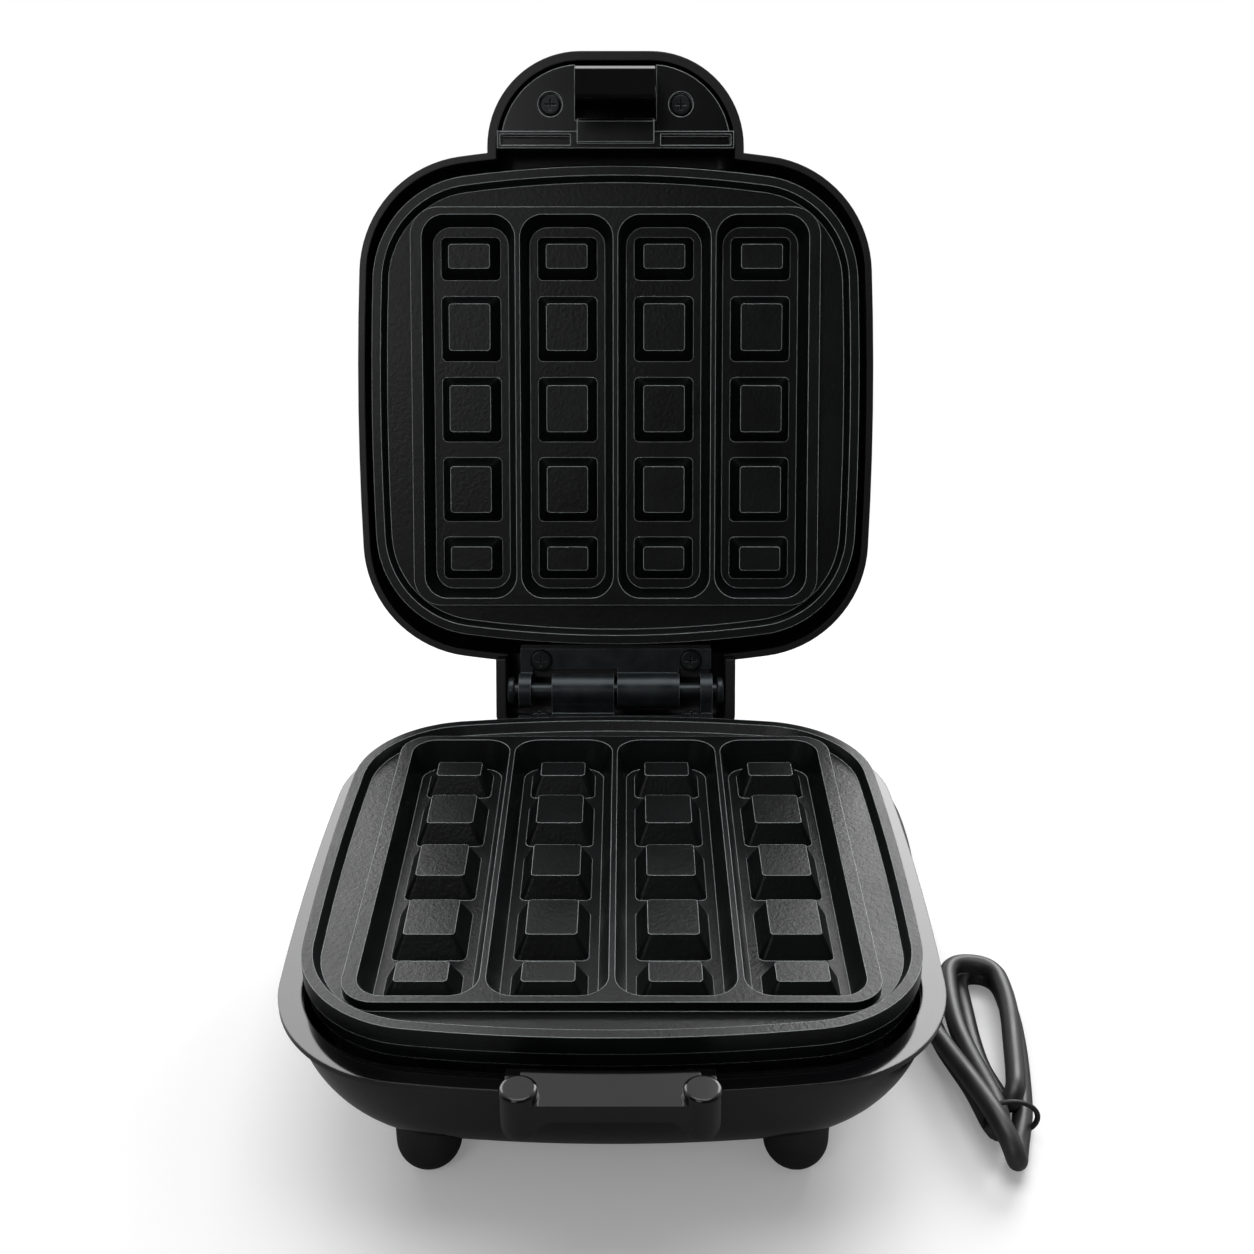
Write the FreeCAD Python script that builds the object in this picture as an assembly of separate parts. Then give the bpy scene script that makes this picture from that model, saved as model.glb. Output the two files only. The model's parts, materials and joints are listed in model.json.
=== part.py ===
"""Compact clamshell waffle maker with four stick-shaped cavities. Millimetres, +Z up, X to the right,
the front catch towards -Y. The lid is built closed and then swung open about the hinge pin."""
import FreeCAD, Part
import math
import os

V = FreeCAD.Vector

# ---- driving dimensions -------------------------------------------------------------------------
body_half_x = 75.3            # outline of both shells at their rims
body_half_y = 75.5
body_corner = 34.0
side_bow = 900.0              # radius of the slightly bowed sides
front_bow = 330.0             # radius of the bowed front and back
shell_wall = 2.6
lid_wall = 2.0
base_rim_z = 44.5             # top face of the glossy ledge of the base
rim_thickness = 1.4
rim_overhang = 2.8            # the rim stands out past the bowl
ledge_width = 5.2
bowl_radius = 38.5            # quarter-round profile of the bowl
bowl_corner_loss = 0.55       # how fast the plan corner shrinks down the bowl

parting_z = 52.5              # lip of the lower plate
plate_gap = 0.6               # between the lips when the lid is shut
plate_half_x = body_half_x - 5.3
plate_half_y = body_half_y - 7.4
plate_corner = 30.0
lip_width = 2.5
lip_draft = 1.6
lip_height = 4.4
channel_depth = 2.5
skirt_inset = 0.8
skirt_depth = 8.2
skirt_wall = 2.0
frame_half_x = 58.5
frame_half_y = 56.8
frame_corner = 8.0
cavity_count = 4
cavity_pitch = 28.0
cavity_half_x = 13.3
cavity_half_y = 54.7
cavity_corner = 6.5
cavity_depth = 8.0
cavity_draft = 2.4
plate_skin = 2.2
peg_rows = 5
peg_pitch = 23.27
peg_drop = 2.5                # peg tops below the lip
peg_half_x = 5.9
peg_half_y = 6.65
peg_end_y = 39.9              # inner edge of the shorter end pegs
peg_end_length = 6.85
peg_draft = 2.7
peg_corner = 0.9
plate_boss_x = 26.0
plate_boss_y = 26.0
plate_boss_r = 4.5
plate_boss_length = 9.3

heater_tube_r = 3.25
heater_half_x = 38.0
heater_half_y = 38.0
heater_bend = 14.0
heater_pin_r = 1.25
heater_pin_length = 8.0
seat_gap = 0.1                # clamped metal parts lie this close
tray_gap = 0.7
tray_sheet = 0.8
tray_rise = 14.8

lid_rim_offset = 8.0          # lid rim above the upper lip
lid_height = 26.0
lid_side = 7.0                # upright part of the lid's side
lid_shoulder = 42.0           # the rounded shoulder reaches this far in from the side
lid_boxiness = 2.6            # exponent of the shoulder's curve, 2 is an ellipse
lid_corner_loss = 0.55

hinge_y = body_half_y + 6.36
hinge_z = 53.49
open_angle = 110.46
barrel_r = 5.0
barrel_gap = 1.0              # between the two long barrels
barrel_end = 18.5
knuckle_start = 24.6
knuckle_end = 28.1
hinge_pin_r = 2.25
pin_clearance = 0.05
pin_head_r = 3.9
pin_head_start = 29.4
pin_head_length = 2.0
leaf_thickness = 2.0
leaf_front_y = hinge_y - 11.86
leaf_relief = 0.9             # leaf edge kept clear of the other leaf's barrel
leaf_screw_x = 22.0
leaf_screw_y = hinge_y - 8.46
screw_head_r = 3.2
screw_head_h = 1.8
screw_r = 1.5
screw_clearance = 0.1

hood_half_x = 34.8
hood_wall = 2.8
hood_depth = 11.8             # hinge pin to the outside of the hood's back wall
hood_back_wall = 2.4
hood_drop = 2.0               # back wall reaches this far below the pin, where it meets the rim
hood_rise = 15.0
hood_round = 5.0

handle_half_x = 37.0
handle_corner = 27.0
handle_front = body_half_y + 26.5
handle_height = 15.0
handle_wall = 2.6
handle_round = 7.0
insert_gap = 1.3
insert_thickness = 3.0
insert_screw_x = 18.8
insert_screw_y = body_half_y + 11.5
rail_half_x = 34.0
rail_front = body_half_y + 3.7
rail_back = body_half_y - 1.1
rail_wall = 0.9

catch_post_x = 18.4
catch_post_r = 4.0
catch_post_y = body_half_y + 4.5
catch_post_low = 39.6
catch_post_high = 50.2
catch_bar_top = 47.7
catch_bar_low = 43.6
catch_bar_front = body_half_y + 7.2
catch_arch = 3.0

latch_half_x = 11.0
latch_side_gap = 0.7
latch_pivot_y = body_half_y + 16.5
latch_pivot_z = 66.5
latch_boss_r = 3.2
latch_pin_r = 1.5
latch_clearance = 0.5         # hook to bar, all round, when shut
latch_bite = 2.2              # how far the hook reaches under the bar
latch_foot = 3.6
latch_arm = 5.2
latch_release = 6.5           # degrees between hooked and just clear

foot_r = 7.5
foot_flat_r = 2.8
foot_front_x = 42.0
foot_front_y = 48.0
foot_back_x = 38.0
foot_back_y = 56.0

cord_r = 2.4
relief_x = 22.0
relief_z = 16.0
socket_r = 8.5
socket_end = 67.0
relief_collar_r = 7.0
relief_collar = 3.0
relief_length = 20.0
hank_height = 13.4
tie_y = -40.0
tie_width = 3.2
tie_left = 83.2
tie_right = 101.4
tie_depth = 1.5

terminal_y = 17.0
indicator_y = -30.0
indicator_r = 4.0

# ---- sizes that follow ----------------------------------------------------------------------------
bowl_half_x = body_half_x - rim_overhang
bowl_half_y = body_half_y - rim_overhang
bowl_floor_z = base_rim_z - bowl_radius
upper_lip_z = parting_z + plate_gap
lid_rim_z = upper_lip_z + lid_rim_offset
lid_top_z = lid_rim_z + lid_height
frame_depth = cavity_depth + plate_skin
boss_end = frame_depth + plate_boss_length
tray_floor = boss_end + tray_sheet
hinge_point = V(0, hinge_y, hinge_z)
insert_z = lid_rim_z - 0.5
upper_leaf_z = hinge_z + barrel_r
lower_leaf_z = hinge_z - barrel_r - leaf_thickness


# ---- general helpers --------------------------------------------------------------------------------
def circle_crossing(ax, ra, by, rb):
    """First-quadrant crossing of a circle centred (ax, 0) and one centred (0, by)."""
    d = math.hypot(ax, by)
    along = (ra * ra - rb * rb + d * d) / (2 * d)
    off = math.sqrt(ra * ra - along * along)
    ux, uy = -ax / d, by / d
    points = [V(ax + ux * along + s * uy * off, uy * along - s * ux * off, 0) for s in (1, -1)]
    return max(points, key=lambda p: p.x + p.y)


def bowed_outline(half_x, half_y, corner, z, inset=0.0):
    """Rounded square whose four sides are long arcs, each tangent to the corner arcs."""
    ra, rb = side_bow, front_bow
    a = V(half_x - ra, 0, 0)
    b = V(0, half_y - rb, 0)
    c = circle_crossing(a.x, ra - corner, b.y, rb - corner)
    on_side = a + (c - a) * ((ra - inset) / (ra - corner))
    on_front = b + (c - b) * ((rb - inset) / (rb - corner))
    out = V(on_side.x + on_front.x - 2 * c.x, on_side.y + on_front.y - 2 * c.y, 0)
    on_corner = c + out * ((corner - inset) / out.Length)
    hx, hy = half_x - inset, half_y - inset

    def at(p, sx, sy):
        return V(p.x * sx, p.y * sy, z)

    arcs = [(at(on_side, 1, -1), V(hx, 0, z), at(on_side, 1, 1)),
            (at(on_side, 1, 1), at(on_corner, 1, 1), at(on_front, 1, 1)),
            (at(on_front, 1, 1), V(0, hy, z), at(on_front, -1, 1)),
            (at(on_front, -1, 1), at(on_corner, -1, 1), at(on_side, -1, 1)),
            (at(on_side, -1, 1), V(-hx, 0, z), at(on_side, -1, -1)),
            (at(on_side, -1, -1), at(on_corner, -1, -1), at(on_front, -1, -1)),
            (at(on_front, -1, -1), V(0, -hy, z), at(on_front, 1, -1)),
            (at(on_front, 1, -1), at(on_corner, 1, -1), at(on_side, 1, -1))]
    return Part.Wire([Part.Arc(*points).toShape() for points in arcs])


def rounded_rect(half_x, half_y, corner, z, x=0.0, y=0.0):
    """Rectangle with round corners, centred on x, y."""
    k = corner * (1 - math.sqrt(0.5))
    edges = []
    quarters = [(1, -1), (1, 1), (-1, 1), (-1, -1)]
    for i, (sx, sy) in enumerate(quarters):
        cut_x = V(x + sx * half_x, y + sy * (half_y - corner), z)
        cut_y = V(x + sx * (half_x - corner), y + sy * half_y, z)
        mid = V(x + sx * (half_x - k), y + sy * (half_y - k), z)
        start, end = (cut_y, cut_x) if sx * sy < 0 else (cut_x, cut_y)
        edges.append((start, mid, end))
    shapes = []
    for i, (start, mid, end) in enumerate(edges):
        shapes.append(Part.Arc(start, mid, end).toShape())
        shapes.append(Part.makeLine(end, edges[(i + 1) % 4][0]))
    return Part.Wire(shapes)


def slab(wire, height):
    return Part.Face(wire).extrude(V(0, 0, height))


def frustum(low, high):
    return Part.makeLoft([low, high], True, True)


def block(x0, x1, y0, y1, z0, z1):
    return Part.makeBox(x1 - x0, y1 - y0, z1 - z0, V(x0, y0, z0))


def rod(r, start, end):
    return Part.makeCylinder(r, (end - start).Length, start, end - start)


def fuse_all(shapes):
    return shapes[0].fuse(shapes[1:]).removeSplitter() if len(shapes) > 1 else shapes[0]


def polygon(points):
    return Part.makePolygon([V(*p) for p in points] + [V(*points[0])])


def bend_radius(before, corner, after):
    turn = (corner - before).getAngle(after - corner)
    return 0.45 * min((corner - before).Length, (after - corner).Length) / math.tan(turn / 2)


def run_and_arc_path(points, radius=None):
    """Straight runs joined by tangent arcs, each arc as large as its two runs allow."""
    edges = []
    start = points[0]
    for before, corner, after in zip(points, points[1:], points[2:]):
        into = (corner - before).normalize()
        out = (after - corner).normalize()
        turn = into.getAngle(out)
        r = radius or bend_radius(before, corner, after)
        reach = r * math.tan(turn / 2)
        first = corner - into * reach
        last = corner + out * reach
        bisector = (out - into).normalize()
        middle = corner + bisector * (r / math.cos(turn / 2) - r)
        edges.append(Part.LineSegment(start, first).toShape())
        edges.append(Part.Arc(first, middle, last).toShape())
        start = last
    edges.append(Part.LineSegment(start, points[-1]).toShape())
    return Part.Wire(edges)


def swept_tube(r, points, radius=None):
    path = run_and_arc_path(points, radius)
    ring = Part.Wire(Part.makeCircle(r, points[0], points[1] - points[0]))
    return path.makePipeShell([ring], True, True)


def screw(head_at, axis, head_r, head_h, shaft_r, length, slot_depth=0.9):
    """Pan-head screw: the head grows from head_at along axis, the shaft runs the other way."""
    head = Part.makeCylinder(head_r, head_h, head_at, axis)
    rim = [e for e in head.Edges if (e.CenterOfMass - head_at).dot(axis) > head_h / 2]
    head = head.makeFillet(head_h * 0.4, [e for e in rim if e.Closed and e.Length > head_r])
    shaft = Part.makeCylinder(shaft_r, length, head_at, axis * -1)
    side = V(1, 0, 0)
    other = axis.cross(side)
    top = head_at + axis * (head_h - slot_depth)
    body = head.fuse(shaft)
    for along, across in ((side, other), (other, side)):
        start = top - along * (head_r * 0.55) - across * (head_r * 0.11)
        cut = Part.makeBox(head_r * 1.1, head_r * 0.22, slot_depth * 2)
        cut.Placement = FreeCAD.Placement(start, FreeCAD.Rotation(along, across, axis, "XYZ"))
        if along.cross(across).dot(axis) < 0:
            start = top - along * (head_r * 0.55) + across * (head_r * 0.11)
            cut.Placement = FreeCAD.Placement(start, FreeCAD.Rotation(along, across * -1, axis, "XYZ"))
        body = body.cut(cut)
    return body


def four(x, y):
    return [(sx * x, sy * y) for sx in (-1, 1) for sy in (-1, 1)]


# ---- grid plates --------------------------------------------------------------------------------------
def plate_channel():
    """Lip, sunken channel and skirt. The lip's top is at z = 0 and the back of the plate below it."""
    body = slab(bowed_outline(plate_half_x, plate_half_y, plate_corner, -lip_height), lip_height)
    top = bowed_outline(plate_half_x, plate_half_y, plate_corner, 0, lip_width)
    low = bowed_outline(plate_half_x, plate_half_y, plate_corner, -channel_depth, lip_width + lip_draft)
    body = body.cut(frustum(low, top))
    outer = slab(bowed_outline(plate_half_x, plate_half_y, plate_corner, -skirt_depth, skirt_inset),
                 skirt_depth - lip_height + 0.01)
    inner = slab(bowed_outline(plate_half_x, plate_half_y, plate_corner, -skirt_depth,
                               skirt_inset + skirt_wall), skirt_depth - lip_height)
    return body.fuse(outer.cut(inner))


def cavity(x):
    top = rounded_rect(cavity_half_x, cavity_half_y, cavity_corner, 0, x)
    low = rounded_rect(cavity_half_x - cavity_draft, cavity_half_y - cavity_draft,
                       cavity_corner - cavity_draft / 2, -cavity_depth, x)
    return frustum(low, top)


def peg_places():
    """Middle y and half length of each peg in a row, end pegs shorter."""
    whole = range(-(peg_rows // 2) + 1, peg_rows // 2)
    places = [(i * peg_pitch, peg_half_y) for i in whole]
    end = peg_end_y + peg_end_length / 2
    return places + [(-end, peg_end_length / 2), (end, peg_end_length / 2)]


def peg(x, y, half_y):
    low = rounded_rect(peg_half_x + peg_draft, half_y + peg_draft, peg_corner + 0.6, -cavity_depth, x, y)
    high = rounded_rect(peg_half_x, half_y, peg_corner, -peg_drop, x, y)
    return frustum(low, high)


def peg_pocket(x, y, half_y):
    """Hollow behind a peg, which keeps the casting's walls even."""
    low = rounded_rect(peg_half_x + peg_draft - plate_skin, half_y + peg_draft - plate_skin,
                       peg_corner, -frame_depth, x, y)
    high = rounded_rect(peg_half_x - plate_skin, half_y - plate_skin, peg_corner,
                        -peg_drop - plate_skin, x, y)
    return frustum(low, high)


def grid_plate():
    body = plate_channel()
    body = body.fuse(slab(rounded_rect(frame_half_x, frame_half_y, frame_corner, -frame_depth), frame_depth))
    columns = [(i - (cavity_count - 1) / 2) * cavity_pitch for i in range(cavity_count)]
    body = body.cut([cavity(x) for x in columns])
    body = body.fuse([peg(x, y, h) for x in columns for y, h in peg_places()])
    body = body.cut([peg_pocket(x, y, h) for x in columns for y, h in peg_places() if h == peg_half_y])
    bosses = []
    holes = []
    for x, y in four(plate_boss_x, plate_boss_y):
        bosses.append(rod(plate_boss_r, V(x, y, -boss_end), V(x, y, -frame_depth + 0.2)))
        holes.append(rod(screw_r + screw_clearance, V(x, y, -boss_end), V(x, y, -frame_depth)))
    return body.fuse(bosses).cut(holes)


def heater():
    """U-shaped sheathed element lying against the back of the plate, with its two cold pins."""
    z = -frame_depth - seat_gap - heater_tube_r
    x, y = heater_half_x, heater_half_y
    tube = swept_tube(heater_tube_r, [V(x, y, z), V(x, -y, z), V(-x, -y, z), V(-x, y, z)], heater_bend)
    pins = [rod(heater_pin_r, V(s * x, y - 1, z), V(s * x, y + heater_pin_length, z)) for s in (-1, 1)]
    return tube.fuse(pins)


def reflector_tray(sensor_hole):
    """Bright sheet tray behind the plate, clamped on the plate's bosses."""
    hx = frame_half_x + tray_gap + tray_sheet
    hy = frame_half_y + tray_gap + tray_sheet
    tray = slab(rounded_rect(hx, hy, frame_corner + 1.5, -tray_floor), tray_rise)
    tray = tray.cut(slab(rounded_rect(hx - tray_sheet, hy - tray_sheet, frame_corner + 0.7,
                                      -tray_floor + tray_sheet), tray_rise))
    holes = [rod(screw_r + 0.3, V(x, y, -tray_floor - 1), V(x, y, -boss_end + 1))
             for x, y in four(plate_boss_x, plate_boss_y)]
    holes += [rod(4.0, V(s * heater_half_x, heater_half_y + 14, -tray_floor - 1),
                  V(s * heater_half_x, heater_half_y + 14, -boss_end + 1)) for s in (-1, 1)]
    if sensor_hole:
        holes.append(rod(8.2, V(0, 0, -tray_floor - 1), V(0, 0, -boss_end + 1)))
    return tray.cut(holes)


def to_lower(shape):
    return shape.translated(V(0, 0, parting_z))


def to_upper(shape):
    return shape.mirror(V(0, 0, 0), V(0, 0, 1)).translated(V(0, 0, upper_lip_z))


# ---- base ---------------------------------------------------------------------------------------------
def bowl_solid(wall):
    """Quarter-round bowl, shrunk by wall on every side."""
    r = bowl_radius - wall
    wires = []
    for step in range(7):
        angle = math.radians(15 * step)
        inset = r * (1 - math.cos(angle))
        corner = body_corner - rim_overhang - wall - bowl_corner_loss * inset
        wires.append(bowed_outline(bowl_half_x - wall - inset, bowl_half_y - wall - inset, corner,
                                   base_rim_z - r * math.sin(angle)))
    return Part.makeLoft(wires, True, False)


def catch():
    """Two posts and the bar between them that the latch hooks under."""
    y_back = body_half_y - ledge_width
    bar = block(-catch_post_x, catch_post_x, -catch_bar_front, -y_back - 2.0,
                catch_bar_low - catch_arch, catch_bar_top)
    half = catch_post_x - catch_post_r
    arch = Part.makeBox(2 * half, 40, 20, V(-half, -catch_bar_front - 5, catch_bar_low - 20))
    top_edges = [e for e in arch.Edges
                 if abs(e.CenterOfMass.z - catch_bar_low) < 0.01 and abs(e.CenterOfMass.x) > half - 0.1]
    bar = bar.cut(arch.makeFillet(catch_arch, top_edges))
    parts = [bar]
    for s in (-1, 1):
        foot = V(s * catch_post_x, -catch_post_y, catch_post_low + catch_post_r * 0.5)
        post = rod(catch_post_r, foot, V(s * catch_post_x, -catch_post_y, catch_post_high))
        post = post.makeFillet(0.8, [e for e in post.Edges if e.Closed and e.CenterOfMass.z > catch_bar_top])
        parts.append(post)
        parts.append(Part.makeSphere(catch_post_r, foot).cut(
            block(s * catch_post_x - 9, s * catch_post_x + 9, -catch_post_y - 9, -catch_post_y + 9,
                  catch_post_low - 20, catch_post_low)))
        x0 = s * catch_post_x - catch_post_r * 0.8
        parts.append(block(x0, x0 + catch_post_r * 1.6, -catch_post_y, -bowl_half_y + 1.6,
                           catch_post_low + 2.5, catch_bar_top - 0.6))
    return fuse_all(parts)


def base_shell():
    inner = bowl_solid(shell_wall)
    shell = bowl_solid(0.0)
    rim = slab(bowed_outline(body_half_x, body_half_y, body_corner, base_rim_z - rim_thickness), rim_thickness)
    posts = [rod(plate_boss_r, V(x, y, bowl_floor_z + 0.5), V(x, y, parting_z - tray_floor))
             for x, y in four(plate_boss_x, plate_boss_y)]
    socket = rod(socket_r, V(relief_x, socket_end - 14, relief_z), V(relief_x, socket_end, relief_z))
    hinge_seat = []
    for s in (-1, 1):
        x0 = s * leaf_screw_x - 5.0
        hinge_seat.append(block(x0, x0 + 10.0, leaf_front_y - 0.3, body_half_y - 0.2, base_rim_z - 7.0,
                                lower_leaf_z))
    pad = block(-knuckle_end, knuckle_end, leaf_front_y - 0.3, body_half_y - 0.2, base_rim_z - 1.0,
                lower_leaf_z)
    ribs = [block(s * 15.0 - 3.0, s * 15.0 + 3.0, -body_half_y + 1.2, -body_half_y + ledge_width + 0.6,
                  base_rim_z - 1.0, base_rim_z + 1.2) for s in (-1, 1)]
    shell = shell.fuse([rim, socket])
    shell = shell.cut(inner)
    opening = slab(bowed_outline(body_half_x, body_half_y, body_corner, base_rim_z - rim_thickness - 1,
                                 ledge_width), 10)
    shell = shell.cut(opening)
    shell = shell.fuse(posts + hinge_seat + ribs + [pad, catch()])
    drills = []
    for x, y in four(plate_boss_x, plate_boss_y):
        drills.append(rod(screw_r + 0.3, V(x, y, 0), V(x, y, parting_z)))
        drills.append(rod(screw_head_r + 0.3, V(x, y, 0), V(x, y, bowl_floor_z + 4.4)))
    drills.append(rod(relief_collar_r - 2.0 + 0.1, V(relief_x, 40, relief_z), V(relief_x, 70, relief_z)))
    drills += [rod(screw_r + screw_clearance, V(s * leaf_screw_x, leaf_screw_y, base_rim_z - 6.0),
                   V(s * leaf_screw_x, leaf_screw_y, lower_leaf_z + 1)) for s in (-1, 1)]
    return shell.cut(drills).removeSplitter()


def foot(x, y, bowl):
    """Rubber dome foot with a small flat contact, its top following the bowl."""
    centre_z = math.sqrt(foot_r ** 2 - foot_flat_r ** 2)
    middle = (math.asin(foot_flat_r / foot_r) + math.pi / 2) / 2
    top = centre_z + foot_r * 2
    profile = [Part.LineSegment(V(0, 0, 0), V(foot_flat_r, 0, 0)).toShape(),
               Part.Arc(V(foot_flat_r, 0, 0),
                        V(foot_r * math.sin(middle), 0, centre_z - foot_r * math.cos(middle)),
                        V(foot_r, 0, centre_z)).toShape(),
               Part.LineSegment(V(foot_r, 0, centre_z), V(foot_r, 0, top)).toShape(),
               Part.LineSegment(V(foot_r, 0, top), V(0, 0, top)).toShape(),
               Part.LineSegment(V(0, 0, top), V(0, 0, 0)).toShape()]
    dome = Part.Face(Part.Wire(profile)).revolve(V(0, 0, 0), V(0, 0, 1), 360)
    return dome.translated(V(x, y, 0)).cut(bowl)


def base_screws():
    out = []
    for x, y in four(plate_boss_x, plate_boss_y):
        head_at = V(x, y, bowl_floor_z + 4.4)
        length = parting_z - boss_end + 7.0 - head_at.z
        out.append(screw(head_at, V(0, 0, -1), screw_head_r, screw_head_h, screw_r, length))
    return Part.makeCompound(out)


def thermostat():
    top = parting_z - frame_depth - seat_gap
    body = rod(7.0, V(0, 0, top - 4.0), V(0, 0, top)).fuse(rod(6.0, V(0, 0, top - 13.5), V(0, 0, top - 3.9)))
    tabs = [block(s * 3.5 - 0.4, s * 3.5 + 0.4, -2.4, 2.4, top - 19.5, top - 13.0) for s in (-1, 1)]
    return body.fuse(tabs)


def thermal_fuse():
    z = parting_z - frame_depth - seat_gap - 2.0
    return rod(2.0, V(-7, -15, z), V(7, -15, z)).fuse(rod(0.5, V(-13, -15, z), V(13, -15, z)))


def terminal_block():
    floor_z = bowl_floor_z + shell_wall
    body = block(-12, 12, terminal_y, terminal_y + 10, floor_z, floor_z + 8)
    ports = [rod(1.3, V(x, terminal_y - 1, floor_z + 4), V(x, terminal_y + 11, floor_z + 4)) for x in (-8, 0, 8)]
    return body.cut(ports)


def internal_wires():
    z = bowl_floor_z + shell_wall + 4
    tab_z = parting_z - frame_depth - seat_gap - 19.5
    hz = parting_z - frame_depth - seat_gap - heater_tube_r
    pin_y = heater_half_y + heater_pin_length
    routes = [[V(relief_x - 1.4, 50.8, relief_z), V(relief_x - 2.2, 43, relief_z - 1), V(9, 36, z + 1), V(8, terminal_y + 10.2, z)],
              [V(relief_x + 1.4, 50.8, relief_z), V(relief_x + 1.0, 42, relief_z + 4),
               V(heater_half_x - 4, 50, z + 10), V(heater_half_x, pin_y + 3, 30), V(heater_half_x, pin_y + 3, hz - 1.6)],
              [V(0, terminal_y - 0.2, z), V(1, 11, z + 0.5), V(3.5, 4, z + 3), V(3.5, 0, tab_z - 4),
               V(3.5, 0, tab_z - 0.1)],
              [V(-8, terminal_y - 0.2, z), V(-8, 11, z + 1), V(-5, 4, z + 3), V(-3.5, 0, tab_z - 4),
               V(-3.5, 0, tab_z - 0.1)]]
    return Part.makeCompound([swept_tube(0.9, route) for route in routes])


def strain_relief():
    start = V(relief_x, socket_end - 16, relief_z)
    neck = rod(relief_collar_r - 2.0, start, V(relief_x, socket_end, relief_z))
    collar = rod(relief_collar_r, V(relief_x, socket_end, relief_z),
                 V(relief_x, socket_end + relief_collar, relief_z))
    cone = Part.makeCone(relief_collar_r - 2.2, cord_r + 0.7, relief_length,
                         V(relief_x, socket_end + relief_collar, relief_z), V(0, 1, 0))
    return neck.fuse([collar, cone])


# ---- cord and plug -------------------------------------------------------------------------------------
relief_tip = socket_end + relief_collar + relief_length
lead_points = [V(22, relief_tip, 16), V(22, 104, 13), V(27, 119, 6.5), V(42, 131, 2.6), V(62, 133, 2.6),
               V(79, 122, 2.6), V(86, 103, 2.6), V(87, 82, 2.6), V(86, 62, 2.8), V(82.5, 44, 4.8),
               V(78.5, 27, 7.6), V(76, 6, 7.8), V(79.6, -12, 7.8)]
tail_points = [V(82.6, -12, 2.5), V(81, 2, 2.5), V(78.5, 19, 2.5), V(75, 37, 2.5), V(70, 56, 2.5),
               V(62.5, 75, 2.5), V(49, 90.5, 2.5), V(31, 99.5, 2.5), V(12, 104, 2.7), V(-6, 106, 5.0),
               V(-20, 106.5, 8.0)]
hank_corners = [(77.0, -12), (85.2, -12), (85.2, 4), (87.5, 12), (92, 16.4), (100, 16.8), (105, 12), (106.8, 0),
                (105.6, -14), (103, -28), (98.8, -42), (95.4, -52), (92.4, -57), (88.6, -55.6), (84.6, -44),
                (80.4, -28)]


def cord_hank():
    """Outer shape of the folded loops of cord lying beside the base, waisted where the tie holds them."""
    body = Part.Face(polygon([(x, y, 0) for x, y in hank_corners])).extrude(V(0, 0, hank_height))
    band = block(70, 120, tie_y, tie_y + tie_width, -1, hank_height + 1)
    core = hank_core(tie_depth)
    return body.cut(band.cut(core))


def hank_core(depth):
    """The hank's section under the tie, shrunk by depth."""
    z0, z1 = depth, hank_height - depth
    left, right = tie_left + depth, tie_right - depth
    return slab(rounded_rect((right - left) / 2, tie_width, 0.5, z0, (left + right) / 2, tie_y + tie_width / 2),
                z1 - z0)


def cord_tie():
    outer = hank_core(0.2).common(block(70, 120, tie_y + 0.2, tie_y + tie_width - 0.2, -1, 20))
    return outer.cut(hank_core(tie_depth))


def plug_body():
    end = tail_points[-1]
    neck = Part.makeCone(cord_r + 0.8, 5.6, 11, end, V(-1, 0, 0))
    body = block(end.x - 31, end.x - 10, end.y - 12, end.y + 12, end.z - 8, end.z + 8)
    body = body.makeFillet(3.0, [e for e in body.Edges if e.BoundBox.XLength > 20])
    body = body.makeFillet(1.5, [e for e in body.Edges if e.CenterOfMass.x > end.x - 10.1])
    return neck.fuse(body)


def plug_blades():
    end = tail_points[-1]
    blades = []
    for s in (-1, 1):
        y = end.y + s * 6.35
        blade = block(end.x - 48, end.x - 31, y - 0.75, y + 0.75, end.z - 3.15, end.z + 3.15)
        hole = rod(1.6, V(end.x - 44, y - 2, end.z), V(end.x - 44, y + 2, end.z))
        blades.append(blade.cut(hole))
    return Part.makeCompound(blades)


# ---- hinge ---------------------------------------------------------------------------------------------
def barrel(x0, x1):
    return rod(barrel_r, V(x0, hinge_y, hinge_z), V(x1, hinge_y, hinge_z))


def hinge_leaf(long_side, leaf_z, toward):
    """One leaf: a plate, its long barrel on long_side (-1 or 1) and its outer knuckle on the other."""
    gap = barrel_gap / 2
    back = hinge_y - barrel_r - leaf_relief
    plate = block(-knuckle_end, knuckle_end, leaf_front_y, back, leaf_z, leaf_z + leaf_thickness)
    a, b = sorted((long_side * gap, long_side * barrel_end))
    c, d = sorted((-long_side * knuckle_start, -long_side * knuckle_end))
    z0, z1 = sorted((leaf_z + (leaf_thickness if toward < 0 else 0), hinge_z))
    parts = [plate, barrel(a, b), barrel(c, d)]
    for lo, hi in ((a, b), (c, d)):
        parts.append(block(lo, hi, back - 1, hinge_y, leaf_z, leaf_z + leaf_thickness))
        parts.append(block(lo, hi, hinge_y - barrel_r + 0.4, hinge_y, z0, z1))
    body = fuse_all(parts)
    bore = rod(hinge_pin_r + pin_clearance, V(-40, hinge_y, hinge_z), V(40, hinge_y, hinge_z))
    holes = [rod(screw_r + screw_clearance, V(s * leaf_screw_x, leaf_screw_y, leaf_z - 1),
                 V(s * leaf_screw_x, leaf_screw_y, leaf_z + leaf_thickness + 1)) for s in (-1, 1)]
    return body.cut([bore] + holes)


def hinge_pin():
    shaft = rod(hinge_pin_r, V(-pin_head_start, hinge_y, hinge_z),
                V(pin_head_start + pin_head_length, hinge_y, hinge_z))
    head = rod(pin_head_r, V(-pin_head_start - pin_head_length, hinge_y, hinge_z),
               V(-pin_head_start, hinge_y, hinge_z))
    head = head.makeFillet(0.6, [e for e in head.Edges if e.Closed])
    return shaft.fuse(head)


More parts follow.
